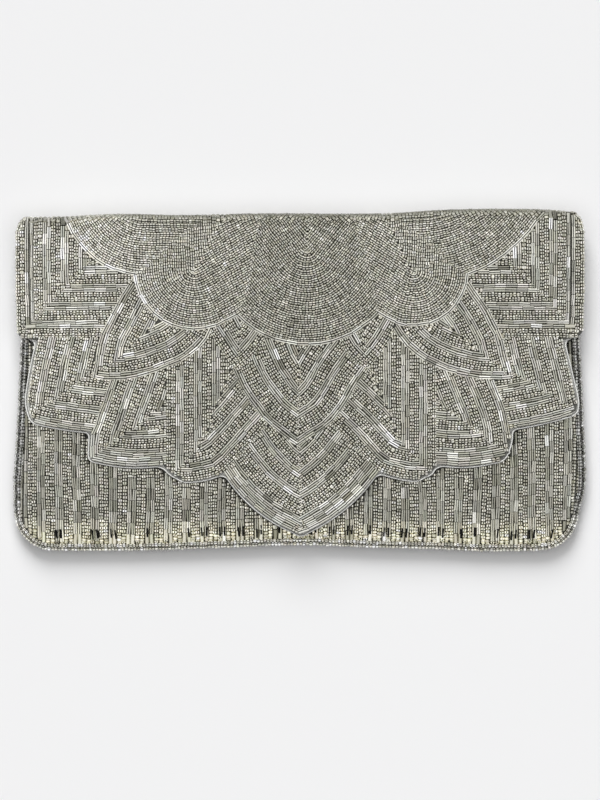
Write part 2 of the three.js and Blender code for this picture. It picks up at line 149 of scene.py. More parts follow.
# Arms of the fields: each has rows alongside one guide, up to the mitre with the other arm.
# columns: field, guide, other guide, kinds of its rows from the outside in (those after | repeat)
ARMS = [
    ("block_left", "block_left_side", "block_left_low", "SSBB"),
    ("block_left", "block_left_low", "block_left_side", "SSBB"),
    ("block_right", "block_right_side", "block_right_low", "SSBB"),
    ("block_right", "block_right_low", "block_right_side", "SSBB"),
    ("petal_4_left", "petal_4_left_side", "petal_4_left_low", "SSBB"),
    ("petal_4_left", "petal_4_left_low", "petal_4_left_side", "BBSS"),
    ("petal_4_right", "petal_4_right_side", "petal_4_right_low", "SSBB"),
    ("petal_4_right", "petal_4_right_low", "petal_4_right_side", "BBSS"),
    ("petal_3_left", "petal_3_left_side", "petal_3_left_low", "BBSS"),
    ("petal_3_left", "petal_3_left_low", "petal_3_left_side", "BBBBSS|BBSS"),
    ("petal_3_right", "petal_3_right_side", "petal_3_right_low", "BBSS"),
    ("petal_3_right", "petal_3_right_low", "petal_3_right_side", "BBBBSS|BBSS"),
    ("petal_centre", "petal_centre_left", "petal_centre_right", "BBBBSSS|BBSS"),
    ("petal_centre", "petal_centre_right", "petal_centre_left", "BBBBSSS|BBSS"),
    ("petal_2_left", "petal_2_left_side", "petal_2_left_low", "SSBB"),
    ("petal_2_left", "petal_2_left_low", "petal_2_left_side", "SSBB"),
    ("petal_2_right", "petal_2_right_side", "petal_2_right_low", "SSBB"),
    ("petal_2_right", "petal_2_right_low", "petal_2_right_side", "SSBB"),
    ("heart", "heart_left", "heart_right", "BBSSS|BBSS"),
    ("heart", "heart_right", "heart_left", "BBSSS|BBSS"),
    ("bud_left", "bud_left_a", "bud_left_b", "SSBB"),
    ("bud_left", "bud_left_b", "bud_left_a", "SSBB"),
    ("bud_right", "bud_right_a", "bud_right_b", "SSBB"),
    ("bud_right", "bud_right_b", "bud_right_a", "SSBB"),
    ("leaf_left", "leaf_left_side", "leaf_left_low", "BBSS"),
    ("leaf_left", "leaf_left_low", "leaf_left_side", "BBSS"),
    ("leaf_right", "leaf_right_side", "leaf_right_low", "BBSS"),
    ("leaf_right", "leaf_right_low", "leaf_right_side", "BBSS"),
]
# Fans of curved rows along the fold: rows run round a centre, and go on straight up either side of it.
# columns: name, centre, radius, way of the left side, way of the right side, curves and points round the field
FANS = [
    ("fan_upper_left", (-75.9, 92.1), 41.2, (-0.3, 1), (1, 0),
     [(-122, 104), (-122, 76), (-116, 66), (-104, 54), (-86, 49.5), "upper_left_in", (-45, 104)]),
    ("fan_upper_right", (57.6, 117.1), 70.5, (-1, 0), (0.6, 0.8),
     [(45, 104), "-upper_right_in", (88, 49.2), (108, 58), (121, 71), (123, 82), (121, 104)]),
    ("fan_left", (-51.3, 54.8), 30.4, (-0.03, 1), (0.87, 0.49),
     [(-45, 104), "-upper_left_in", (-84, 49), (-84, 30), (-64, 22), (-41, 22), "-centre_left", (-17, 104)]),
    ("fan_right", (55.5, 53.2), 27.0, (-0.85, 0.53), (0.03, 1),
     [(24, 104), "centre_right", (41, 22), (64, 22), (86, 34), (85, 50), "upper_right_in", (45, 104)]),
    ("fan_centre", (3.2, 64.8), 47.8, (-0.60, 0.80), (0.62, 0.78),
     [(-17, 104), "centre_left", (-24, 22), (0, 15), (30, 22), "-centre_right", (24, 104)]),
]


# ---- the surfaces ----------------------------------------------------------------------------------------------
def along(table, column, at):
    """Smooth curve through a table's rows: one column at places along the first."""
    k, v = table[:, 0], table[:, column]
    n = np.arange(len(k))
    t = np.clip(np.asarray(at, float), k[0], k[-1])
    i = np.clip(np.searchsorted(k, t, side="left") - 1, 0, len(k) - 2)
    lo, hi = np.maximum(n - 1, 0), np.minimum(n + 1, len(k) - 1)
    slope = (v[hi] - v[lo]) / (k[hi] - k[lo])
    h = k[i + 1] - k[i]
    s = (t - k[i]) / h
    return ((1 + 2 * s) * (1 - s) ** 2 * v[i] + s * (1 - s) ** 2 * h * slope[i]
            + s * s * (3 - 2 * s) * v[i + 1] + s * s * (s - 1) * h * slope[i + 1])


def left(y):
    return along(SIDES, 1, y)


def right(y):
    return along(SIDES, 2, y)


def bottom(x):
    return along(BOTTOM, 1, x)


def inset(x, y):
    """Distance in from the pouch's outline, and the width of the rounded rim there."""
    side = np.minimum(x - left(y), right(y) - x)
    low = y - bottom(x)
    a, b = CORNER - side, CORNER - low
    reach = np.hypot(a, b) + 1e-9
    corner = (side < CORNER) & (low < CORNER)
    d = np.where(corner, CORNER - reach, np.minimum(side, low))
    turned = RIM_SIDE + (RIM_BOTTOM - RIM_SIDE) * (b / reach) ** 2
    return d, np.where(corner, turned, np.where(side < low, RIM_SIDE, RIM_BOTTOM))


def quarter(u):
    return np.sqrt(np.maximum(0, 1 - (1 - np.clip(u, 0, 1)) ** 2))


def face(x, y):
    return FRONT_Z + CROWN * np.maximum(0, 1 - (x / 140) ** 2) * np.maximum(0, 1 - ((y + 6) / 82) ** 2)


def front_out(x, y):
    d, rim = inset(x, y)
    return SEAM_Z + (face(x, y) - SEAM_Z) * quarter((d - EDGE_IN) / rim)


def front_in(x, y):
    d, rim = inset(x, y)
    return SEAM_Z + (face(x, y) - WALL - SEAM_Z) * quarter((d - EDGE_IN - WALL) / (rim - WALL))


def back_out(x, y):
    d, rim = inset(x, y)
    return SEAM_Z * (1 - quarter((d - EDGE_IN) / rim))


def back_in(x, y):
    d, rim = inset(x, y)
    return SEAM_Z - (SEAM_Z - WALL) * quarter((d - EDGE_IN - WALL) / (rim - WALL))


def lining_in(x, y):
    d, rim = inset(x, y)
    return SEAM_Z + (face(x, y) - SEAM_Z) * quarter(np.maximum((d - EDGE_IN) / rim, FLAP_LOW)) + GAP


def flap_out(x, y):
    return lining_in(x, y) + LINING + GAP + WALL


def fold_radius(x):
    return flap_out(x, np.full_like(np.asarray(x, float), 72.0)) / 2


def fold_y(x):
    return along(TOP, 1, x) - fold_radius(x)


# The fold's section, a softened half square 1 high and 1 deep to its middle, with lengths along it.
FOLD_POWER = 0.64
fold_turn = np.linspace(0, np.pi, 2881)
fold_deep = np.abs(np.sin(fold_turn)) ** FOLD_POWER
fold_high = np.sign(np.cos(fold_turn)) * np.abs(np.cos(fold_turn)) ** FOLD_POWER
fold_along = np.r_[0, np.cumsum(np.hypot(np.diff(fold_deep), np.diff(fold_high)))]
FOLD_LENGTH = fold_along[-1]


def unroll(points):
    """Plan points on the flap's top side to the flap laid flat: x stays, and the other goes on round the fold."""
    p = np.array(points, float)
    r, yc = fold_radius(p[:, 0]), fold_y(p[:, 0])
    turn = np.interp(np.arcsin(np.clip((p[:, 1] - yc) / r, 0, 1) ** (1 / FOLD_POWER)), fold_turn, fold_along)
    return np.stack([p[:, 0], np.where(p[:, 1] > yc, yc + r * turn, p[:, 1])], 1)


def on_flap(p):
    """The flap's bead tops at points of the flap laid flat."""
    x, v = p[:, 0], p[:, 1]
    r, yc = fold_radius(x), fold_y(x)
    s = np.clip((v - yc) / r, 0, FOLD_LENGTH)
    past = np.maximum(0, v - yc - r * FOLD_LENGTH)
    y = np.where(v <= yc, v, yc + r * np.interp(s, fold_along, fold_deep) - past)
    high = np.interp(s, fold_along, fold_high)
    # At its ends the fold's underside rises with the back panel's rim.
    lift = back_out(x, yc - BACK_TURN) * (1 - high) / 2
    z = np.where(v <= yc, flap_out(x, np.minimum(v, yc)), r + r * high + lift)
    return np.stack([x, y, z], 1)


def on_front(p):
    return np.stack([p[:, 0], p[:, 1], front_out(p[:, 0], p[:, 1])], 1)


def on_back(p):
    return np.stack([p[:, 0], p[:, 1], back_out(p[:, 0], p[:, 1])], 1)


def normals(surface, p, way=1):
    e = 0.15
    dx = surface(p + [e, 0]) - surface(p - [e, 0])
    dy = surface(p + [0, e]) - surface(p - [0, e])
    n = np.cross(dx, dy) * way
    return n / np.linalg.norm(n, axis=1)[:, None]


# ---- lines over the plan ---------------------------------------------------------------------------------------
def unit(v):
    v = np.asarray(v, float)
    return v / np.linalg.norm(v)


def flap_line(grow):
    """Outline of the flap or of its lining, from the table of corners, let out by a lip and by webs."""
    n = len(FLAP_EDGE)
    at = np.array([c[1:3] for c in FLAP_EDGE], float)
    corners, rounds = [], []
    for i, (_, _, _, rounding, _, end) in enumerate(FLAP_EDGE):
        a, b = unit(at[i] - at[i - 1]), unit(at[(i + 1) % n] - at[i])
        more = grow[end]
        reach = more if end == "web" else more / max(0.5, math.sqrt((1 + a @ b) / 2))
        corners.append(at[i] + unit([a[1] + b[1], -(a[0] + b[0])]) * reach)
        rounds.append(rounding + max(0, more))
    points, last = [], None
    for i in range(n):
        back, on = corners[i - 1] - corners[i], corners[(i + 1) % n] - corners[i]
        start = corners[i] + unit(back) * min(rounds[i], np.linalg.norm(back) * 0.45)
        end = corners[i] + unit(on) * min(rounds[i], np.linalg.norm(on) * 0.45)
        bow = FLAP_EDGE[i - 1][4]
        if last is not None and bow:
            middle = (last + start) / 2 + unit([start[1] - last[1], last[0] - start[0]]) * 2 * bow
            for t in np.linspace(0, 1, 9)[1:-1]:
                points.append((1 - t) ** 2 * last + 2 * t * (1 - t) * middle + t * t * start)
        points.append(start)
        last = start
        if rounds[i] > 0:
            for t in np.linspace(0, 1, 6)[1:]:
                points.append((1 - t) ** 2 * start + 2 * t * (1 - t) * corners[i] + t * t * end)
            last = end
    return np.array(points)


def rim_line(d, top_y, steps):
    """Outline of the pouch, a distance in from its edge, from the left mouth round the bottom to the right."""
    r = CORNER - d
    ends = []
    for side in (-1, 1):
        y = float(bottom(side * 121)) + CORNER
        ends.append((float(left(y - 2)) + CORNER if side < 0 else float(right(y - 2)) - CORNER, y))
    (lx, ly), (rx, ry) = ends
    straight, turn = round(steps * 0.2), round(steps * 0.14)
    across = steps - 2 * straight - 2 * turn
    y = np.linspace(top_y, ly, straight, endpoint=False)
    parts = [np.stack([left(y) + d, y], 1)]
    a = np.pi + np.linspace(0, 1, turn + 1) * np.pi / 2
    parts.append(np.stack([lx + r * np.cos(a), ly + r * np.sin(a)], 1))
    x = np.linspace(lx, rx, across + 1)[1:-1]
    parts.append(np.stack([x, bottom(x) + d], 1))
    a = 1.5 * np.pi + np.linspace(0, 1, turn + 1) * np.pi / 2
    parts.append(np.stack([rx + r * np.cos(a), ry + r * np.sin(a)], 1))
    y = np.linspace(ry, top_y, straight + 1)[1:]
    parts.append(np.stack([right(y) - d, y], 1))
    return np.vstack(parts)


def measured(line):
    return np.r_[0, np.cumsum(np.linalg.norm(np.diff(line, axis=0), axis=1))]


def resample(line, step):
    s = measured(line)
    t = np.linspace(0, s[-1], max(3, int(round(s[-1] / step)) + 1))
    return np.stack([np.interp(t, s, line[:, k]) for k in range(line.shape[1])], 1)


def smoothed(points, step=1.2, run_on=60.0):
    """A guide: an even, smooth line through points, going on straight past both ends."""
    p = np.asarray(points, float)
    q = np.vstack([2 * p[0] - p[1], p, 2 * p[-1] - p[-2]])
    out = []
    for p0, p1, p2, p3 in zip(q, q[1:], q[2:], q[3:]):
        n = max(2, int(np.linalg.norm(p2 - p1) / step))
        t = np.linspace(0, 1, n, endpoint=False)[:, None]
        out.append(0.5 * (2 * p1 + (p2 - p0) * t + (2 * p0 - 5 * p1 + 4 * p2 - p3) * t ** 2
                          + (3 * p1 - p0 - 3 * p2 + p3) * t ** 3))
    line = resample(np.vstack(out + [p[-1:]]), step)
    for _ in range(5):
        line[1:-1] = 0.25 * line[:-2] + 0.5 * line[1:-1] + 0.25 * line[2:]
    k = min(len(line) - 1, 5)
    return np.vstack([line[0] + unit(line[0] - line[k]) * run_on, line, line[-1] + unit(line[-1] - line[-1 - k]) * run_on])


def distance(p, line):
    """Distance to a line, positive on its left."""
    best, sign = np.full(len(p), 1e18), np.ones(len(p))
    for a, b in zip(line[:-1], line[1:]):
        d = b - a
        size = d @ d
        if size < 1e-12:
            continue
        q = p - a
        t = np.clip((q @ d) / size, 0, 1)
        r = (q[:, 0] - t * d[0]) ** 2 + (q[:, 1] - t * d[1]) ** 2
        near = r < best
        best = np.where(near, r, best)
        sign = np.where(near, np.sign(d[0] * q[:, 1] - d[1] * q[:, 0]), sign)
    return np.sqrt(best) * sign


def inside(p, polygon):
    x, y = p[:, 0], p[:, 1]
    hit = np.zeros(len(p), bool)
    for (x0, y0), (x1, y1) in zip(polygon, np.vstack([polygon[1:], polygon[:1]])):
        if y0 != y1:
            hit ^= ((y0 > y) != (y1 > y)) & (x < (x1 - x0) * (y - y0) / (y1 - y0) + x0)
    return hit


def shrunk(polygon, d):
    """A polygon whose edge is moved in by d."""
    a, b = np.roll(polygon, 1, 0), np.roll(polygon, -1, 0)
    t = b - a
    t /= np.linalg.norm(t, axis=1)[:, None]
    return polygon + np.stack([-t[:, 1], t[:, 0]], 1) * d


def contours(values, x0, y0, h, level):
    """Lines of one level over a grid."""
    g = values - level
    g = np.where(np.abs(g) < 1e-9, 1e-9, g)
    up = g > 0
    across, along_y = up[:, :-1] != up[:, 1:], up[:-1] != up[1:]
    points = {}
    for way, (iy, ix) in enumerate((np.nonzero(across), np.nonzero(along_y))):
        far = g[iy, ix + 1] if way == 0 else g[iy + 1, ix]
        t = g[iy, ix] / (g[iy, ix] - far)
        px = x0 + (ix + (t if way == 0 else 0)) * h
        py = y0 + (iy + (0 if way == 0 else t)) * h
        for j, i, x, y in zip(iy.tolist(), ix.tolist(), px.tolist(), py.tolist()):
            points[(way, j, i)] = (x, y)
    links = {}
    cy, cx = np.nonzero(across[:-1] | across[1:] | along_y[:, :-1] | along_y[:, 1:])
    for j, i in zip(cy.tolist(), cx.tolist()):
        ends = [k for k in ((0, j, i), (1, j, i + 1), (0, j + 1, i), (1, j, i)) if k in points]
        for a, b in zip(ends[0::2], ends[1::2]):
            links.setdefault(a, []).append(b)
            links.setdefault(b, []).append(a)
    seen, lines = set(), []
    for start in sorted(links, key=lambda k: (len(links[k]), k)):
        if start in seen:
            continue
        line = [start]
        seen.add(start)
        while True:
            on = [k for k in links[line[-1]] if k not in seen]
            if not on:
                break
            seen.add(on[0])
            line.append(on[0])
        if len(line) > 3:
            lines.append(np.array([points[k] for k in line]))
    return lines


# ---- rows of the flap's pattern --------------------------------------------------------------------------------
OUTLINE = flap_line({"tuck": 0, "lip": 0, "web": 0})
CORNERS = {c[0]: np.array(c[1:3], float) for c in FLAP_EDGE}


def edge(a, b):
    """The flap's outline between two of its corners."""
    i, j = (int(np.argmin(np.linalg.norm(OUTLINE - CORNERS[c], axis=1))) for c in (a, b))
    return OUTLINE[i:j + 1]


guides = {
    "block_left_side": edge("shoulder_left_low", "block_left")[3:-3],
    "block_right_side": edge("block_right", "shoulder_right_low")[3:-3],
    "petal_4_left_side": edge("notch_block_left", "petal_4_left")[2:-2],
    "petal_4_left_low": edge("petal_4_left_low", "notch_43_left")[2:-2],
    "petal_4_right_low": edge("notch_34_right", "petal_4_right")[2:-2],
    "petal_4_right_side": edge("petal_4_right_up", "notch_block_right")[2:-2],
    "petal_3_left_side": np.vstack([CURVES["petal_3_left_up"], edge("notch_43_left", "petal_3_left")[3:-2]]),
    "petal_3_left_low": edge("petal_3_left", "notch_32_left")[2:-2],
    "petal_3_right_low": edge("notch_23_right", "petal_3_right")[2:-2],
    "petal_3_right_side": np.vstack([edge("petal_3_right_up", "notch_34_right")[2:-3], CURVES["petal_3_right_up"]]),
    "petal_centre_left": edge("notch_2c_left", "petal_centre")[2:],
    "petal_centre_right": edge("petal_centre", "notch_2c_right")[:-2],
    "petal_2_left_low": np.vstack([edge("petal_2_left", "notch_2c_left")[:-3], CURVES["petal_2_left_up"]]),
    "petal_2_right_low": np.vstack([CURVES["petal_2_right_up"], edge("notch_2c_right", "petal_2_right")[3:]]),
}
for name in {arm[1] for arm in ARMS} - set(guides):
    guides[name] = unroll(CURVES[name])
guides = {name: smoothed(line) for name, line in guides.items()}


def outline_of(items):
    """Curves and points as one polygon of the flap laid flat. A minus turns a curve round."""
    parts = []
    for item in items:
        if isinstance(item, str):
            curve = unroll(CURVES[item.lstrip("-")])
            parts.append(curve[::-1] if item.startswith("-") else curve)
        else:
            parts.append(np.array([item], float))
    return np.vstack(parts)


def fan_depth(p, centre, radius, to_left, to_right):
    """How far in from a fan's outer curve."""
    q = p - np.array(centre)
    a, b = unit(to_left), unit(to_right)
    ta, tb = q @ a, q @ b
    da, db = q @ np.array([-a[1], a[0]]), q @ np.array([b[1], -b[0]])
    beside = np.maximum(np.where(ta > 0, da, -1e9), np.where(tb > 0, db, -1e9))
    return radius - np.where((ta <= 0) & (tb <= 0), np.hypot(q[:, 0], q[:, 1]), beside)


# Which field each place of the flap belongs to.
FINE = 0.25
fine_x, fine_v = np.arange(-142, 142 + FINE, FINE), np.arange(-80, 104 + FINE, FINE)
field_of = np.full((len(fine_v), len(fine_x)), -1, np.int16)
field_names = list(FIELDS) + [fan[0] for fan in FANS]


def paint(polygon, value, test=None):
    lo, hi = polygon.min(0), polygon.max(0)
    i0, i1 = np.searchsorted(fine_x, [lo[0], hi[0]])
    j0, j1 = np.searchsorted(fine_v, [lo[1], hi[1]])
    gx, gv = np.meshgrid(fine_x[i0:i1 + 1], fine_v[j0:j1 + 1])
    p = np.stack([gx.ravel(), gv.ravel()], 1)
    hit = inside(p, polygon)
    if test is not None:
        hit &= test(p)
    view = field_of[j0:j1 + 1, i0:i1 + 1]
    view[hit.reshape(view.shape)] = value


for number, (name, items) in enumerate(FIELDS.items()):
    paint(outline_of(items), number)
for number, (name, centre, radius, a, b, items) in enumerate(FANS, len(FIELDS)):
    paint(outline_of(items), number, lambda p: fan_depth(p, centre, radius, a, b) > 0)
gx, gv = np.meshgrid(fine_x, fine_v)
flat = np.stack([gx.ravel(), gv.ravel()], 1)
on_plan = on_flap(flat)[:, :2]
within = inside(on_plan, shrunk(OUTLINE, 0.45)) | ((flat[:, 1] > 80) & (np.abs(flat[:, 0]) < 133))
field_of[~within.reshape(field_of.shape)] = -1


def field_at(p):
    i = np.clip(np.round((p[:, 0] - fine_x[0]) / FINE).astype(int), 0, len(fine_x) - 1)
    j = np.clip(np.round((p[:, 1] - fine_v[0]) / FINE).astype(int), 0, len(fine_v) - 1)
    return field_of[j, i]


def kept_runs(line, keep, least=1.3):
    """The stretches of a line where keep holds."""
    if measured(line)[-1] < least:
        return []
    p = resample(line, 0.2)
    p[1:-1] = 0.25 * p[:-2] + 0.5 * p[1:-1] + 0.25 * p[2:]
    hold = np.r_[False, keep(p), False]
    starts, ends = np.nonzero(~hold[:-1] & hold[1:])[0], np.nonzero(hold[:-1] & ~hold[1:])[0]
    return [p[i:j] for i, j in zip(starts, ends) if (j - i) * 0.2 >= least]


def grown(run, first, last):
    """A line made longer at either end."""
    k = min(len(run) - 1, 4)
    return np.vstack([run[0] + unit(run[0] - run[k]) * first, run, run[-1] + unit(run[-1] - run[-1 - k]) * last])


def parted(run, reach=4, least=0.55):
    """A line parted at its sharp corners."""
    if len(run) < 2 * reach + 4:
        return [run]
    a, b = run[reach:-reach] - run[:-2 * reach], run[2 * reach:] - run[reach:-reach]
    turn = np.abs(np.arctan2(a[:, 0] * b[:, 1] - a[:, 1] * b[:, 0], (a * b).sum(1)))
    cuts = [0]
    for k in np.nonzero(turn > least)[0]:
        near = turn[max(0, k - 5):k + 6]
        if turn[k] == near.max() and k + reach - cuts[-1] > 6:
            cuts.append(k + reach)
    return [run[i:j + 1] for i, j in zip(cuts, cuts[1:] + [len(run) - 1]) if j - i >= 5]


def waver(p):
    """Rows sewn by hand sway a little, each with its neighbours."""
    x, v = p[:, 0:1], p[:, 1:2]
    return p + 0.08 * np.hstack([np.sin(v / 2.3 + 1.9 * np.sin(x / 5.1)), np.sin(x / 2.1 + 1.7 * np.sin(v / 4.7))])


def row_offsets(kinds, reach):
    head, cycle = kinds.split("|") if "|" in kinds else ("", kinds)
    offset, before, i = 0.0, None, 0
    while True:
        kind = head[i] if i < len(head) else cycle[(i - len(head)) % len(cycle)]
        offset = FIRST_ROW[kind] if before is None else offset + ROW_STEP[before + kind]
        if offset > reach:
            return
        yield offset, kind
        before, i = kind, i + 1


COARSE = 0.5


def level_lines(number, depth, offsets, keep, longer):
    """Rows of one field: level lines of its depth."""
    j, i = np.nonzero(field_of == number)
    if not len(j):
        return
    lo = np.array([fine_x[i.min()], fine_v[j.min()]]) - 1.5
    hi = np.array([fine_x[i.max()], min(fine_v[j.max()], FOLD_END + 2)]) + 1.5
    x, v = np.arange(lo[0], hi[0], COARSE), np.arange(lo[1], hi[1], COARSE)
    gx, gv = np.meshgrid(x, v)
    values = depth(np.stack([gx.ravel(), gv.ravel()], 1)).reshape(gx.shape)
    for offset, kind in offsets(values.max()):
        for line in contours(values, lo[0], lo[1], COARSE, offset):
            for run in kept_runs(line, lambda p: (field_at(p) == number) & (p[:, 1] < FOLD_END) & keep(p)):
                parts = parted(run)
                for i, part in enumerate(parts):
                    yield kind, waver(grown(part, longer + 0.45 * (i > 0), longer + 0.45 * (i < len(parts) - 1)))


def fan_offsets(reach):
    yield 0.9, "B"
    offset = 2.9
    while offset < reach:
        yield offset, "S"
        offset += FAN_STEP


flap_rows = []  # field, kind, line on the flap laid flat
for name, guide, other, kinds in ARMS:
    near, far = guides[guide], guides[other]
    for kind, run in level_lines(
        field_names.index(name),
        lambda p: distance(p, near),
        lambda reach: row_offsets(kinds, reach),
        lambda p: distance(p, near) < distance(p, far) + 0.7,
        0.25,
    ):
        flap_rows.append((name, kind, run))
for name, centre, radius, a, b, _ in FANS:
    for kind, run in level_lines(
        field_names.index(name),
        lambda p: fan_depth(p, centre, radius, a, b),
        fan_offsets,
        lambda p: np.ones(len(p), bool),
        0.9,
    ):
        flap_rows.append((name, kind, run))


# A short row of seeds goes round either shoulder.
border = shrunk(OUTLINE, 0.75)
for first, last in (("shoulder_left", "shoulder_left_low"), ("shoulder_right_low", "shoulder_right")):
    i, j = (int(np.argmin(np.linalg.norm(OUTLINE - CORNERS[c], axis=1))) for c in (first, last))
    flap_rows.append(("block_left" if first == "shoulder_left" else "block_right", "S", resample(unroll(border[i - 2:j + 3]), 0.2)))


def stripes():
    """Places and kinds of the panels' upright rows."""
    first = math.floor((-142 - STRIPE_AT) / STRIPE_STEP)
    last = math.ceil((142 - STRIPE_AT) / STRIPE_STEP)
    for k in range(first, last + 1):
        middle = STRIPE_AT + k * STRIPE_STEP
        for off, kind in ((-1.09, "B"), (1.09, "B"), (3.31, "S"), (5.57, "S")):
            yield middle + off, kind


def sway(x, y):
    """Hand-sewn rows aren't quite straight."""
    return 0.35 * np.sin(y / 17.0 + x / 9.0) + 0.2 * np.sin(y / 7.0 - x / 23.0) + 0.1 * np.sin(y / 1.7 + x * 1.3)


front_rows, back_rows, turn_rows = [], [], []
flap_over = shrunk(flap_line({"tuck": 0.3, "lip": LIP, "web": WEB}), -0.1)
for x, kind in stripes():
    y = np.arange(-84, 62, 0.2)
    line = np.stack([x + sway(x, y), y], 1)
    for run in kept_runs(line, lambda p: (inset(p[:, 0], p[:, 1])[0] > EDGE_IN + 0.35) & (p[:, 1] < MOUTH_Y) & ~inside(p, flap_over)):
        front_rows.append(("front", kind, run))
    y = np.arange(-84, 74, 0.2)
    line = np.stack([-x + sway(x + 40, y), y], 1)
    for run in kept_runs(line, lambda p: (inset(p[:, 0], p[:, 1])[0] > EDGE_IN + 0.35)
                         & (p[:, 1] < fold_y(p[:, 0]) - BACK_TURN - 0.6)):
        back_rows.append(("back", kind, run))
    v = np.arange(FOLD_END + 0.5, 106, 0.2)
    line = np.stack([-x + sway(x + 40, v * 0), v], 1)
    for run in kept_runs(line, lambda p: (p[:, 1] < fold_y(p[:, 0]) + FOLD_LENGTH * fold_radius(p[:, 0]) + BACK_TURN - 0.2)
                         & inside(on_flap(p)[:, :2], shrunk(OUTLINE, 0.7))):
        turn_rows.append(("turn", kind, run))


# ---- beads along the rows --------------------------------------------------------------------------------------
def string_beads(points, ups, kind):
    """Beads threaded on a line: rows of centre, axis, up, length, radius, and 1 for a bugle."""
    s = measured(points)
    total = s[-1]
    beads = []

    def place(a, b, radius, bugle):
        ends = [np.array([np.interp(t, s, points[:, k]) for k in range(3)]) for t in (a, b)]
        up = np.array([np.interp((a + b) / 2, s, ups[:, k]) for k in range(3)])
        beads.append(np.r_[(ends[0] + ends[1]) / 2, ends[1] - ends[0], up, b - a, radius, bugle])

    def seeds(a, b):
        n = int((b - a + 0.25) / SEED_PITCH)
        if n:
            ends = np.r_[0, np.cumsum(rng.normal(1, 0.12, n))]
            ends = a + (b - a) * ends / ends[-1]
            for i in range(n):
                place(ends[i], ends[i + 1], SEED_R, 0)

    if kind == "S":
        seeds(0, total)
        return beads
    n = int((total + 0.6) / BUGLE_PITCH)
    if n == 0:
        seeds(0, total)
        return beads
    spare = total - n * BUGLE_PITCH
    pitch = BUGLE_PITCH if spare > 1.4 else total / n
    start = 0.0
    if spare > 1.4:
        if rng.random() < 0.5:
            seeds(n * pitch, total)
        else:
            seeds(0, spare)
            start = spare
    for i in range(n):
        place(start + i * pitch, start + (i + 1) * pitch, BUGLE_R, 1)
    return beads


def beads_of(rows, surface, way, depth=0.98):
    """All beads of some rows on a surface, sunk so that their tops reach it."""
    found, fields = [], []
    for name, kind, run in rows:
        up = normals(surface, run, way)
        beads = string_beads(surface(run) - up * depth, up, kind)
        found += beads
        fields += [name] * len(beads)
    return np.array(found), np.array(fields)


def barrel(angles, *profiles):
    """A bead round the x axis, 1 long and 1 in radius: points, faces, and which faces are shaded smooth.
    Each profile is a stretch of rings with an edge at either end, and the last rings are closed."""
    a = np.radians(angles)
    n = len(a)
    points, faces = [], []
    for profile in profiles:
        start = len(points)
        points += [(x, r * math.cos(t), r * math.sin(t)) for x, r in profile for t in a]
        for ring in range(len(profile) - 1):
            at = start + ring * n
            faces += [(at + i, at + (i + 1) % n, at + n + (i + 1) % n, at + n + i) for i in range(n)]
    for x, r, way in ((profiles[0][0][0], profiles[0][0][1], -1), (profiles[-1][-1][0], profiles[-1][-1][1], 1)):
        start = len(points)
        points += [(x, r * math.cos(t), r * math.sin(t)) for t in a]
        faces.append(tuple(range(start, start + n))[::way])
    return np.array(points), faces


UPPER = (0, 30, 60, 90, 120, 150, 180, 270)  # finer on top than where the bead lies on the cloth
SEED = barrel(UPPER, [(-0.5, 0.62), (-0.39, 0.97)], [(-0.39, 0.97), (0.39, 0.97)], [(0.39, 0.97), (0.5, 0.62)])
SEED_ROUND = barrel(UPPER, [(-0.5, 0.48), (-0.33, 0.97)], [(-0.33, 0.97), (0.33, 0.97)], [(0.33, 0.97), (0.5, 0.48)])
SEED_CLOSE = barrel(UPPER, [(-0.505, 0.66), (-0.41, 0.97)], [(-0.41, 0.97), (0.41, 0.97)], [(0.41, 0.97), (0.505, 0.66)])
BUGLE = barrel(UPPER, [(-0.5, 1.0), (0.5, 1.0)])
PLAIN = (0, 60, 120, 180, 270)
SEED_PLAIN = barrel(PLAIN, [(-0.5, 0.6), (-0.3, 0.97), (0.3, 0.97), (0.5, 0.6)])
BUGLE_PLAIN = barrel(PLAIN, [(-0.5, 1.0), (0.5, 1.0)])


def mesh_object(name, points, faces, smooth=True, tint=None):
    """A mesh from arrays: faces is a list of arrays, each of faces with the same number of corners.
    smooth is for all of them, or a list with one for each array."""
    mesh = bpy.data.meshes.new(name)
    loops = np.concatenate([f.ravel() for f in faces])
    sizes = np.concatenate([np.full(len(f), f.shape[1]) for f in faces])
    mesh.vertices.add(len(points))
    mesh.vertices.foreach_set("co", np.asarray(points, np.float32).ravel())
    mesh.loops.add(len(loops))
    mesh.loops.foreach_set("vertex_index", loops.astype(np.int32))
    mesh.polygons.add(len(sizes))
    mesh.polygons.foreach_set("loop_start", np.r_[0, np.cumsum(sizes)[:-1]].astype(np.int32))
    flags = [smooth] * len(faces) if isinstance(smooth, bool) else smooth
    mesh.polygons.foreach_set("use_smooth", np.concatenate([np.full(len(f), flag) for f, flag in zip(faces, flags)]))
    mesh.update(calc_edges=True)
    mesh.validate()
    if tint is not None:
        layer = mesh.color_attributes.new("tint", "FLOAT_COLOR", "POINT")
        layer.data.foreach_set("color", np.asarray(tint, np.float32).ravel())
    obj = bpy.data.objects.new(name, mesh)
    bpy.context.scene.collection.objects.link(obj)
    return obj


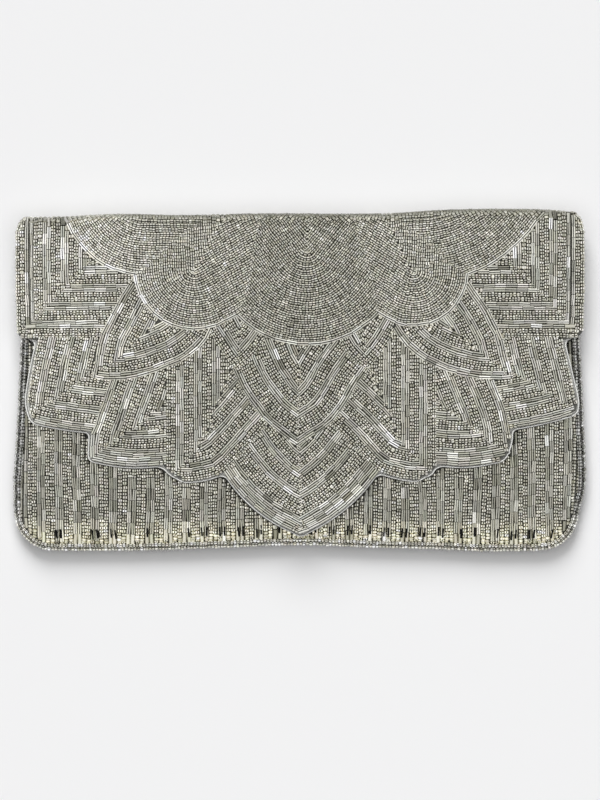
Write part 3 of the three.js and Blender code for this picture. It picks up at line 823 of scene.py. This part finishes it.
def bead_object(name, beads, tints, shapes, squash, tilt, stand):
    """One mesh of many beads. shapes are the seed's and the bugle's, and squash makes them wider and lower."""
    if not len(beads):
        return None
    n = len(beads)
    axis = beads[:, 3:6] / np.linalg.norm(beads[:, 3:6], axis=1)[:, None]
    up = beads[:, 6:9] + 0
    # Loosely sewn: on a gentle slope the beads stand nearly level.
    level = stand * np.clip((up[:, 2] - 0.8) / 0.12, 0, 1)
    axis[:, 2] *= 1 - level
    up[:, :2] *= (1 - level)[:, None]
    axis /= np.linalg.norm(axis, axis=1)[:, None]
    up /= np.linalg.norm(up, axis=1)[:, None]
    bugle = beads[:, 11] > 0.5
    lean = np.where(bugle, 0.25, 1.0)[:, None] * tilt
    axis = axis + rng.normal(0, 1, (n, 3)) * lean
    axis /= np.linalg.norm(axis, axis=1)[:, None]
    up = up + rng.normal(0, 1, (n, 3)) * lean
    up -= axis * (axis * up).sum(1)[:, None]
    up /= np.linalg.norm(up, axis=1)[:, None]
    side = np.cross(up, axis)
    size = rng.normal(1, 0.035, n)
    length = beads[:, 9] * np.where(bugle, 0.965, 0.93) * rng.normal(1, 0.012, n)
    radius = beads[:, 10] * size
    centre = beads[:, :3] + side * rng.normal(0, 0.1, n)[:, None] + up * rng.normal(-0.02, 0.05, n)[:, None]
    all_points, all_faces, all_tints, start = [], {}, [], 0
    for kind, (shape, faces) in enumerate(shapes):
        pick = np.nonzero(bugle == bool(kind))[0]
        if not len(pick):
            continue
        local = shape[None] * np.stack([length[pick], radius[pick] * squash[0], radius[pick] * squash[1]], 1)[:, None]
        points = (centre[pick][:, None] + local[:, :, 0:1] * axis[pick][:, None]
                  + local[:, :, 1:2] * side[pick][:, None] + local[:, :, 2:3] * up[pick][:, None])
        all_points.append(points.reshape(-1, 3) * MM)
        all_tints.append(np.repeat(tints[pick], len(shape), 0))
        base = start + np.arange(len(pick)) * len(shape)
        for corners in {len(f) for f in faces}:
            f = np.array([f for f in faces if len(f) == corners])
            all_faces.setdefault((corners, corners == 4), []).append((base[:, None, None] + f[None]).reshape(-1, corners))
        start += len(pick) * len(shape)
    obj = mesh_object(name, np.vstack(all_points), [np.vstack(f) for f in all_faces.values()], [k[1] for k in all_faces], np.vstack(all_tints))
    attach(obj, "root")
    return obj


SEED_TINT = np.array([0.608, 0.596, 0.526])
BUGLE_TINT = np.array([0.578, 0.570, 0.512])
EDGE_TINT = np.array([0.38, 0.38, 0.355])
# The edge row's tint at the bottom is lighter: painted light.
EDGE_LOW_LIT_TINT = np.array([0.70, 0.685, 0.61])


def tints_of(beads, fields):
    """Colour and roughness of each bead: silver-lined glass, no two quite alike, with light and shade painted in by
    place.
    """
    n = len(beads)
    bugle = beads[:, 11] > 0.5
    fan = np.isin(fields, [f[0] for f in FANS])
    front = fields == "front"
    value = np.exp(rng.normal(0, np.where(bugle, np.where(fan, 0.1, 0.2), np.where(fan, 0.14, 0.13)), n))
    value *= np.where(rng.random(n) < np.where(bugle, 0.07, 0.025), 1.45, 1.0) * np.where(rng.random(n) < 0.03, 0.65, 1.0)
    value *= np.where(front, np.where(bugle, 0.72, 0.94), np.where(bugle, np.where(fan, 1.15, 0.97), np.where(fan, 0.95, 1.06)))
    value *= np.where(fields == "fan_centre", 0.88, 1.0) * np.where(fan | front, 1.0, 1 - 0.14 * np.exp(-(beads[:, 0] / 65) ** 2) * np.clip((beads[:, 1] + 60) / 20, 0, 1))
    # Painted light and shade: lighter towards the left shoulder, where the light comes from, darker towards the right
    # one, and painted shade where the flap turns down at its edges.
    value *= 1 + np.where(fan, 0.58, 0.09) * np.clip((-beads[:, 0] - 62) / 70, 0, 1) * np.clip((beads[:, 1] + 60) / 60, 0, 1)
    value *= 1 - 0.05 * np.clip((beads[:, 0] - 50) / 40, 0, 1) * ~front
    value *= 1 - 0.2 * np.clip((beads[:, 7] - 0.03) / 0.15, 0, 1)
    value *= np.where(fields == "edge", np.exp(rng.normal(0, 0.22, n)), 1.0)
    # Painted shade: beads whose surface turns away from straight up are made darker.
    value *= np.where(beads[:, 8] > 0, 0.5 + 0.5 * np.clip((beads[:, 8] - 0.15) / 0.8, 0, 1), 1.0)
    hue = 1 + rng.normal(0, 1, (n, 3)) * [0.012, 0.008, 0.022]
    hue[:, 2] *= value ** 0.1
    tint = np.where(bugle[:, None], BUGLE_TINT, SEED_TINT)
    # Painted light: towards the bottom the edge row is made lighter and warmer, for the light it catches there.
    low = np.clip((-62 - beads[:, 1:2]) / 14, 0, 1)
    tint = np.where((fields == "edge")[:, None], EDGE_TINT + (EDGE_LOW_LIT_TINT - EDGE_TINT) * low, tint)
    # Towards the bottom the panel's beads are a warmer colour and painted lighter: painted light on the rim where it
    # turns down.
    warm = np.clip((-66 - beads[:, 1]) / 8, 0, 1) * front
    tint = tint * (1 + warm[:, None] * [0.51, 0.49, 0.41])
    rough = np.where(bugle, np.where(np.isin(fields, ["front", "back"]), 0.24, 0.12), 0.09) * np.exp(rng.normal(0, 0.35, n))
    return np.c_[np.clip(tint * hue * value[:, None], 0.008, 0.95), np.clip(rough, 0.05, 0.6)]


# ---- cloth -----------------------------------------------------------------------------------------------------
def cloth_object(name, polygon, inner, outer, spacing, extra=None):
    """A closed sheet over a flat outline: outer and inner give its two faces."""
    polygon = np.asarray(polygon, float)
    lo, hi = polygon.min(0), polygon.max(0)
    gx, gy = np.meshgrid(np.arange(lo[0] + spacing[0] / 2, hi[0], spacing[0]), np.arange(lo[1] + spacing[1] / 2, hi[1], spacing[1]))
    grid = np.stack([gx.ravel(), gy.ravel()], 1)
    if extra is not None:
        grid = np.vstack([grid, extra])
    closed = np.vstack([polygon, polygon[:1]])
    grid = grid[inside(grid, polygon) & (np.abs(distance(grid, closed)) > 0.6)]
    points = np.vstack([polygon, grid])
    edges = [(i, (i + 1) % len(polygon)) for i in range(len(polygon))]
    verts, _, faces, *_ = delaunay_2d_cdt([Vector(p) for p in points], edges, [], 1, 1e-5)
    flat_points = np.array([tuple(v) for v in verts])
    tris = np.array(faces)
    a, b, c = (flat_points[tris[:, k]] for k in range(3))
    turn = (b[:, 0] - a[:, 0]) * (c[:, 1] - a[:, 1]) - (b[:, 1] - a[:, 1]) * (c[:, 0] - a[:, 0])
    tris[turn < 0] = tris[turn < 0][:, ::-1]
    n = len(flat_points)
    used = {}
    for t in tris:
        for i, j in ((t[0], t[1]), (t[1], t[2]), (t[2], t[0])):
            used[(i, j)] = True
    rim = np.array([(j, i, i + n, j + n) for i, j in used if (j, i) not in used])
    obj = mesh_object(name, np.vstack([outer(flat_points), inner(flat_points)]) * MM, [np.vstack([tris, tris[:, ::-1] + n]), rim])
    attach(obj, "root")
    area = float(np.abs(turn).sum() / 2) * MM * MM
    return obj, area


# The flap's cloth, laid flat: the plan outline up to the fold, then its sides on over the fold to the seam behind.
def flap_side(side, y):
    part = OUTLINE[(OUTLINE[:, 0] * side > 110) & (OUTLINE[:, 1] > 24)]
    part = part[np.argsort(part[:, 1])]
    return np.interp(y, part[:, 1], part[:, 0])


low = OUTLINE[OUTLINE[:, 1] < 66]
over = []
for side in (1, -1):
    v = np.arange(67, 101, 2.0)
    x = np.full_like(v, side * 137.0)
    for _ in range(4):
        x = flap_side(side, on_flap(np.stack([x, v], 1))[:, 1])
    over.append(np.stack([x, v], 1))
x = np.linspace(over[0][-1, 0], over[1][-1, 0], 60)
seam = np.stack([x, fold_y(x) + FOLD_LENGTH * fold_radius(x) + BACK_TURN], 1)
flap_flat = np.vstack([low, over[0], seam, over[1][::-1]])


def off_flap(depth):
    return lambda p: on_flap(p) - normals(on_flap, p) * depth


def flap_spacing(polygon):
    gx, gv = np.meshgrid(np.arange(-138, 139, 5.0), np.arange(68, 104, 1.2))
    return np.stack([gx.ravel(), gv.ravel()], 1)


flap_cloth, flap_area = cloth_object("flap_cloth", flap_flat, off_flap(WALL), off_flap(BEAD_DEPTH), (5, 5), flap_spacing(flap_flat))

rims = np.vstack([rim_line(d, MOUTH_Y, 150) for d in (EDGE_IN + 0.9, 4.2, 5.6, 7.4, 9.4, 11.6)])
pouch_flat = rim_line(EDGE_IN + 0.2, MOUTH_Y, 170)


def front_top(p):
    z = np.maximum(front_out(p[:, 0], p[:, 1]) - BEAD_DEPTH, front_in(p[:, 0], p[:, 1]) + 0.35)
    return np.c_[p, np.maximum(z, SEAM_Z + 0.55)]


def front_under(p):
    return np.c_[p, np.maximum(front_in(p[:, 0], p[:, 1]), SEAM_Z + 0.15)]


front_cloth, front_area = cloth_object("front_cloth", pouch_flat, front_under, front_top, (7, 7), rims)

x = np.linspace(float(right(70.0)) - EDGE_IN - 0.2, float(left(70.0)) + EDGE_IN + 0.2, 50)
back_flat = np.vstack([rim_line(EDGE_IN + 0.2, 66.0, 170), np.stack([x, fold_y(x) - BACK_TURN - GAP], 1)])
rims_back = np.vstack([rim_line(d, 66.0, 150) for d in (EDGE_IN + 0.9, 4.2, 5.6, 7.4, 9.4, 11.6)])


def back_under(p):
    z = np.minimum(back_out(p[:, 0], p[:, 1]) + BEAD_DEPTH, back_in(p[:, 0], p[:, 1]) - 0.35)
    return np.c_[p, np.minimum(z, SEAM_Z - 0.55)]


def back_top(p):
    return np.c_[p, np.minimum(back_in(p[:, 0], p[:, 1]), SEAM_Z - 0.15)]


back_cloth, back_area = cloth_object("back_cloth", back_flat, back_under, back_top, (7, 7), rims_back)

lining_flat = flap_line({"tuck": -TUCK, "lip": 0.35, "web": WEB - 0.4})
lining_low = lining_flat[lining_flat[:, 1] < MOUTH_Y]
lining_flat = np.vstack([lining_low, [(lining_low[-1, 0], MOUTH_Y)], [(lining_low[0, 0], MOUTH_Y)]])


def lining_under(p):
    return np.c_[p, lining_in(p[:, 0], p[:, 1])]


def lining_top(p):
    return np.c_[p, lining_in(p[:, 0], p[:, 1]) + LINING]


lining_cloth, lining_area = cloth_object("lining_cloth", lining_flat, lining_under, lining_top, (5, 5))


def ribbon(name, path, across, tall):
    """A closed oval roll along a line."""
    t = np.gradient(path, axis=0)
    t /= np.linalg.norm(t, axis=1)[:, None]
    side = np.stack([t[:, 1], -t[:, 0], np.zeros(len(t))], 1)
    side /= np.linalg.norm(side, axis=1)[:, None]
    a = np.linspace(0, 2 * np.pi, 9)[:-1]
    rings = path[:, None] + side[:, None] * (np.cos(a) * across)[None, :, None] + np.array([0, 0, 1]) * (np.sin(a) * tall)[None, :, None]
    n = len(a)
    i, k = np.meshgrid(np.arange(len(path) - 1), np.arange(n), indexing="ij")
    quads = np.stack([i * n + k, i * n + (k + 1) % n, (i + 1) * n + (k + 1) % n, (i + 1) * n + k], -1).reshape(-1, 4)
    last = (len(path) - 1) * n
    caps = np.array([list(range(n))[::-1], list(range(last, last + n))])
    obj = mesh_object(name, rings.reshape(-1, 3) * MM, [quads, caps], [True, False])
    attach(obj, "root")
    return obj


rolled = flap_line({"tuck": -TUCK, "lip": 0.9, "web": 1.4})
start, stop = (int(np.argmin(np.linalg.norm(rolled - CORNERS[c], axis=1))) for c in ("notch_block_left", "notch_block_right"))
rolled = resample(rolled[start:stop + 1], 0.7)
lining_edge = ribbon("lining_edge", np.c_[rolled, lining_in(rolled[:, 0], rolled[:, 1]) + 1.8], 0.38, 0.95)

# ---- bead pieces -----------------------------------------------------------------------------------------------
flap_beads, flap_fields = beads_of(flap_rows, on_flap, 1)
turn_beads, turn_fields = beads_of(turn_rows, on_flap, 1)
front_beads, front_fields = beads_of(front_rows, on_front, 1)
back_beads, back_fields = beads_of(back_rows, on_back, -1)

edge_path = resample(rim_line(1.05, EDGE_TOP, 400), 0.4)
edge_path = np.c_[edge_path, np.full(len(edge_path), SEAM_Z)]
SEED_R_EDGE = 1.25
edge_up = np.tile([0.0, 0.0, 1.0], (len(edge_path), 1))
edge_beads = np.array(string_beads(edge_path, edge_up, "S"))
edge_beads[:, 10] = SEED_R_EDGE
# Above the pouch's mouth the rim is the back panel's own.
own = edge_beads[:, 1] > MOUTH_Y + 0.8
back_beads = np.vstack([back_beads, edge_beads[own]])
back_fields = np.concatenate([back_fields, np.array(["edge"] * own.sum())])
edge_beads = edge_beads[~own]

# Along the bottom rim most of the panel's bugles show a black bar: a painted dark reflection of the room in the
# turning bugles.
dark_reflections = []
for x, kind in stripes():
    if kind == "B" and abs(x) < 129 and rng.random() < (0.92 if x > 20 else 0.85 if x > -45 else 0.6):
        y = -73.9 + rng.normal(0, 0.4) + (float(bottom(x)) + 82.0) * 0.8
        lean = x / 140 * 0.3 + rng.normal(0, 0.08)
        ends = np.array([[x - lean, y - 2.1 - rng.random() * 0.3], [x + lean, y + 2.1 + rng.random() * 0.3]])
        up = normals(on_front, ends, 1)
        at = on_front(ends) + up * 0.1
        dark_reflections.append(np.r_[at.mean(0), at[1] - at[0], up.mean(0), np.linalg.norm(at[1] - at[0]), 0.41 + 0.12 * rng.random(), 1])
dark_reflections = np.array(dark_reflections)

# At the sides this row is fuller and lies further in, against the first stripe.
foot_low, foot_side = rim_line(2.7, MOUTH_Y, 400), rim_line(3.15, MOUTH_Y, 400)
foot_path = resample(foot_low + (foot_side - foot_low) * np.clip((foot_low[:, 1:] + 62) / 14, 0, 1), 0.4)
foot_path = np.c_[foot_path, SEAM_Z + 1.75 + 0.8 * np.clip((foot_path[:, 1] + 62) / 14, 0, 1)]
foot_up = np.tile([0.0, 0.0, 1.0], (len(foot_path), 1))
foot_beads = np.array(string_beads(foot_path, foot_up, "S"))
foot_beads[:, 10] = 0.95 + 0.25 * np.clip((foot_beads[:, 1] + 62) / 14, 0, 1)

pieces = {}


def bead_piece(name, beads, fields, shapes, node, squash=(1.1, 0.92), tilt=0.08, stand=0.75):
    obj = bead_object(name, beads, tints_of(beads, fields), shapes, squash, tilt, stand)
    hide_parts(node)
    pieces[name] = obj


fan_names = {fan[0] for fan in FANS}
in_fan = np.isin(flap_fields, list(fan_names))
on_left = flap_beads[:, 0] < 0
bead_piece("flap_beads_fans_left", flap_beads[in_fan & on_left], flap_fields[in_fan & on_left], (SEED_CLOSE, BUGLE), "flap", tilt=0.05)
bead_piece("flap_beads_fans_right", flap_beads[in_fan & ~on_left], flap_fields[in_fan & ~on_left], (SEED_CLOSE, BUGLE), "flap", tilt=0.05)
bead_piece("flap_beads_left", flap_beads[~in_fan & on_left], flap_fields[~in_fan & on_left], (SEED_ROUND, BUGLE), "flap")
bead_piece("flap_beads_right", flap_beads[~in_fan & ~on_left], flap_fields[~in_fan & ~on_left], (SEED_ROUND, BUGLE), "flap")
bead_piece("flap_beads_turn", turn_beads, turn_fields, (SEED_PLAIN, BUGLE_PLAIN), "flap")
bead_piece("front_beads", front_beads, front_fields, (SEED_ROUND, BUGLE), "front_panel")
bead_piece("front_beads_foot", foot_beads, np.array(["edge"] * len(foot_beads)), (SEED_ROUND, BUGLE), "front_panel", (1, 1))
# The black bars on the rim's bugles are a painted dark reflection.
bead_piece("front_beads_slots", dark_reflections, np.array(["slot"] * len(dark_reflections)), (SEED, BUGLE), "front_panel", (1, 1), stand=0.25)
half = back_beads[:, 0] < 0
bead_piece("back_beads_left", back_beads[half], back_fields[half], (SEED_PLAIN, BUGLE_PLAIN), "back_panel")
bead_piece("back_beads_right", back_beads[~half], back_fields[~half], (SEED_PLAIN, BUGLE_PLAIN), "back_panel")
bead_piece("edge_beads", edge_beads, np.array(["edge"] * len(edge_beads)), (SEED_ROUND, BUGLE), "edge_beading", (1, 1))

for obj, node, slot in ((flap_cloth, "flap", "beads"), (front_cloth, "front_panel", "beads"), (back_cloth, "back_panel", "beads"), (lining_cloth, "flap_lining", "lining"), (lining_edge, "flap_lining", "lining")):
    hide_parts(node)


# ---- materials -------------------------------------------------------------------------------------------------
def material(name):
    m = bpy.data.materials.new(name)
    m.use_nodes = True
    tree = m.node_tree
    shader = tree.nodes["Principled BSDF"]
    return m, tree, shader


def bead_material(name):
    m, tree, shader = material(name)
    tint = tree.nodes.new("ShaderNodeVertexColor")
    tint.layer_name = "tint"
    tree.links.new(tint.outputs["Color"], shader.inputs["Base Color"])
    tree.links.new(tint.outputs["Alpha"], shader.inputs["Roughness"])
    noise = tree.nodes.new("ShaderNodeTexNoise")
    noise.inputs["Scale"].default_value = 1500
    noise.inputs["Detail"].default_value = 1
    where = tree.nodes.new("ShaderNodeTexCoord")
    tree.links.new(where.outputs["Object"], noise.inputs["Vector"])
    bump = tree.nodes.new("ShaderNodeBump")
    bump.inputs["Strength"].default_value = 0.6
    bump.inputs["Distance"].default_value = 0.00006
    tree.links.new(noise.outputs["Fac"], bump.inputs["Height"])
    tree.links.new(bump.outputs["Normal"], shader.inputs["Normal"])
    shader.inputs["Metallic"].default_value = 0.97
    shader.inputs["Coat Weight"].default_value = 0.35
    shader.inputs["Coat Roughness"].default_value = 0.05
    return m


def cloth_material(name, dark, light, scale, roughness, sheen=0.0):
    m, tree, shader = material(name)
    where = tree.nodes.new("ShaderNodeTexCoord")
    waves = []
    for way in ("X", "Y"):
        wave = tree.nodes.new("ShaderNodeTexWave")
        wave.bands_direction = way
        wave.inputs["Scale"].default_value = scale
        wave.inputs["Distortion"].default_value = 0.6
        tree.links.new(where.outputs["Object"], wave.inputs["Vector"])
        waves.append(wave)
    weave = tree.nodes.new("ShaderNodeMath")
    weave.operation = "MULTIPLY"
    tree.links.new(waves[0].outputs["Fac"], weave.inputs[0])
    tree.links.new(waves[1].outputs["Fac"], weave.inputs[1])
    ramp = tree.nodes.new("ShaderNodeValToRGB")
    ramp.color_ramp.elements[0].color = (*dark, 1)
    ramp.color_ramp.elements[1].color = (*light, 1)
    tree.links.new(weave.outputs[0], ramp.inputs["Fac"])
    tree.links.new(ramp.outputs["Color"], shader.inputs["Base Color"])
    bump = tree.nodes.new("ShaderNodeBump")
    bump.inputs["Strength"].default_value = 0.3
    bump.inputs["Distance"].default_value = 0.0002
    tree.links.new(weave.outputs[0], bump.inputs["Height"])
    tree.links.new(bump.outputs["Normal"], shader.inputs["Normal"])
    shader.inputs["Roughness"].default_value = roughness
    shader.inputs["Sheen Weight"].default_value = sheen
    return m


bead_glass = bead_material("silver_lined_glass")
# Painted reflection: near black, for the dark reflection on the bottom rim's bugles.
reflection_black = cloth_material("jet_glass", (0.004, 0.004, 0.004), (0.010, 0.010, 0.009), 900, 0.5)
reflection_black.node_tree.nodes["Principled BSDF"].inputs["Specular IOR Level"].default_value = 0.06
for name, obj in pieces.items():
    obj.data.materials.append(reflection_black if name == "front_beads_slots" else bead_glass)
# Painted shade: the ground cloth is kept dark so that the gaps between the beads read dark.
ground = cloth_material("grey_ground_cloth", (0.14, 0.14, 0.126), (0.24, 0.24, 0.215), 900, 0.85)
for obj in (flap_cloth, front_cloth, back_cloth):
    obj.data.materials.append(ground)
satin = cloth_material("satin_lining", (0.80, 0.80, 0.77), (0.92, 0.92, 0.90), 1400, 0.45, 0.3)
for obj in (lining_cloth, lining_edge):
    obj.data.materials.append(satin)

# ---- floor, light and camera -----------------------------------------------------------------------------------
scene = bpy.context.scene
floor = mesh_object("floor", np.array([(-3, -3, -0.0002), (3, -3, -0.0002), (3, 3, -0.0002), (-3, 3, -0.0002)]), [np.array([[0, 1, 2, 3]])], False)
floor_material, tree, shader = material("pale_floor")
noise = tree.nodes.new("ShaderNodeTexNoise")
noise.inputs["Scale"].default_value = 6
ramp = tree.nodes.new("ShaderNodeValToRGB")
ramp.color_ramp.elements[0].color = (0.885, 0.885, 0.89, 1)
ramp.color_ramp.elements[1].color = (0.905, 0.905, 0.91, 1)
tree.links.new(noise.outputs["Fac"], ramp.inputs["Fac"])
tree.links.new(ramp.outputs["Color"], shader.inputs["Base Color"])
shader.inputs["Roughness"].default_value = 0.9
shader.inputs["Specular IOR Level"].default_value = 0.1
floor.data.materials.append(floor_material)

world = bpy.data.worlds.new("studio")
scene.world = world
world.use_nodes = True
tree = world.node_tree
back = tree.nodes["Background"]
# A room: dim straight overhead, bright from there down to the walls, brightest towards the upper left.
where = tree.nodes.new("ShaderNodeTexCoord")
parts = tree.nodes.new("ShaderNodeSeparateXYZ")
tree.links.new(where.outputs["Generated"], parts.inputs[0])
sky = tree.nodes.new("ShaderNodeValToRGB")
sky.color_ramp.elements[0].position, sky.color_ramp.elements[0].color = 0.10, (0.25, 0.25, 0.25, 1)
sky.color_ramp.elements[1].position, sky.color_ramp.elements[1].color = 0.30, (1.0, 1.0, 1.0, 1)
tree.links.new(parts.outputs["Z"], sky.inputs["Fac"])
oval = tree.nodes.new("ShaderNodeVectorMath")
oval.operation = "MULTIPLY"
oval.inputs[1].default_value = (1.08, 1.0, 0)
tree.links.new(where.outputs["Generated"], oval.inputs[0])
off = tree.nodes.new("ShaderNodeVectorMath")
off.operation = "LENGTH"
tree.links.new(oval.outputs["Vector"], off.inputs[0])
dim = tree.nodes.new("ShaderNodeMapRange")
dim.inputs["From Min"].default_value, dim.inputs["From Max"].default_value = 0.40, 0.49
dim.inputs["To Min"].default_value, dim.inputs["To Max"].default_value = 0.03, 1.0
tree.links.new(off.outputs["Value"], dim.inputs["Value"])
toward = tree.nodes.new("ShaderNodeVectorMath")
toward.operation = "DOT_PRODUCT"
toward.inputs[1].default_value = (-0.35, 0.94, 0)
tree.links.new(where.outputs["Generated"], toward.inputs[0])
gain = tree.nodes.new("ShaderNodeMapRange")
gain.inputs["From Min"].default_value, gain.inputs["From Max"].default_value = -1, 1
gain.inputs["To Min"].default_value, gain.inputs["To Max"].default_value = 1.08, 1.52
tree.links.new(toward.outputs["Value"], gain.inputs["Value"])
level = tree.nodes.new("ShaderNodeMath")
level.operation = "MULTIPLY"
tree.links.new(dim.outputs["Result"], level.inputs[0])
tree.links.new(gain.outputs["Result"], level.inputs[1])
tree.links.new(sky.outputs["Color"], back.inputs["Color"])
tree.links.new(level.outputs[0], back.inputs["Strength"])
world.cycles_visibility.diffuse = False  # the room is only mirrored, and the lamps below light the floor


def far_light(name, come_from, power, spread):
    """Even light from one side of the sky: spread is how wide it looks, in degrees."""
    light = bpy.data.lights.new(name, "SUN")
    light.energy = power
    light.angle = math.radians(spread)
    obj = bpy.data.objects.new(name, light)
    obj.rotation_euler = (-Vector(come_from)).to_track_quat("-Z", "Y").to_euler()
    obj.location = Vector(come_from) * 2
    obj.visible_glossy = False
    scene.collection.objects.link(obj)
    return obj


far_light("key", (-0.13, 0.97, 0.72), 2.7, 36)
far_light("top", (0.0, 0.0, 1.0), 1.5, 85)

HEIGHT_PX, SCALE = 800, 0.4887  # the picture's height, and millimetres to a pixel at the flap
DISTANCE, FLAP_Z = 4.0, 0.011
camera = bpy.data.cameras.new("camera")
camera.sensor_fit = "VERTICAL"
camera.sensor_height = 24
camera.lens = DISTANCE * 24 / (HEIGHT_PX * SCALE * MM)
camera.clip_start, camera.clip_end = 0.05, 20
eye = bpy.data.objects.new("camera", camera)
eye.location = (0, (380.7 - 400) * SCALE * MM, FLAP_Z + DISTANCE)
scene.collection.objects.link(eye)
scene.camera = eye
scene.view_settings.view_transform = "Standard"
